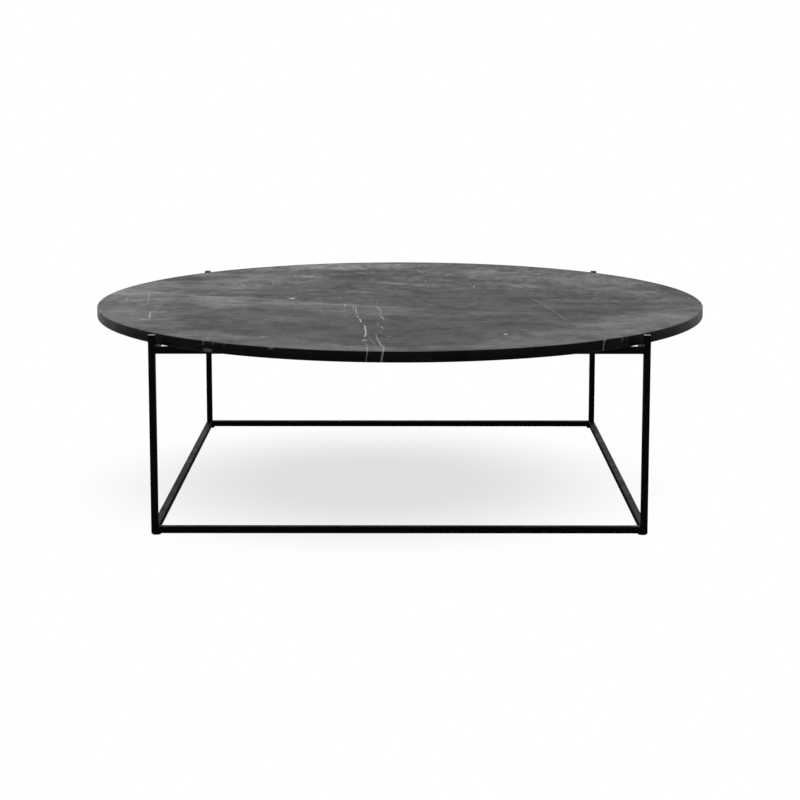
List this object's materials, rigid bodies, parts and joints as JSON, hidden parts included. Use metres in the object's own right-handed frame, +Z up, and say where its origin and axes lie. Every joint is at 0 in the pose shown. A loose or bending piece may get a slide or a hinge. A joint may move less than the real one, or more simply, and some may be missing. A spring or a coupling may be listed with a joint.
{
  "type": "round cocktail table",
  "caption": "Low round table: a thin dark veined stone disc laid loose in a square-bar cage whose legs rise past the rails as posts around its rim.",
  "frame": {"origin": "on the floor under the centre of the table", "axes": "+Z up, -Y towards the front, +X to the right seen from the front"},
  "size_m": [1, 1, 0.3005],
  "materials": {
    "stone": "honed black marble with thin white veins",
    "powder_coat": "fine-textured matt black powder coat on steel bar",
    "clear_bumper": "clear soft bumper",
    "foot_pad": "matt black pad"
  },
  "bodies": {
    "cage": {"leg_front_left": "powder_coat", "leg_front_right": "powder_coat", "leg_rear_left": "powder_coat", "leg_rear_right": "powder_coat", "top_rail_front": "powder_coat", "top_rail_rear": "powder_coat", "top_rail_left": "powder_coat", "top_rail_right": "powder_coat", "bottom_rail_front": "powder_coat", "bottom_rail_rear": "powder_coat", "bottom_rail_left": "powder_coat", "bottom_rail_right": "powder_coat", "bumper_front_rail_left": "clear_bumper", "bumper_front_rail_right": "clear_bumper", "bumper_rear_rail_left": "clear_bumper", "bumper_rear_rail_right": "clear_bumper", "bumper_left_rail_front": "clear_bumper", "bumper_left_rail_rear": "clear_bumper", "bumper_right_rail_front": "clear_bumper", "bumper_right_rail_rear": "clear_bumper", "foot_front_left": "foot_pad", "foot_front_right": "foot_pad", "foot_rear_left": "foot_pad", "foot_rear_right": "foot_pad"},
    "stone": {"stone_top": "stone"}
  },
  "joints": [
    {"name": "stone_lift", "type": "slide", "parent": "cage", "child": "stone", "axis": [0, 0, 1], "range_m": [0, 0.06]}
  ]
}
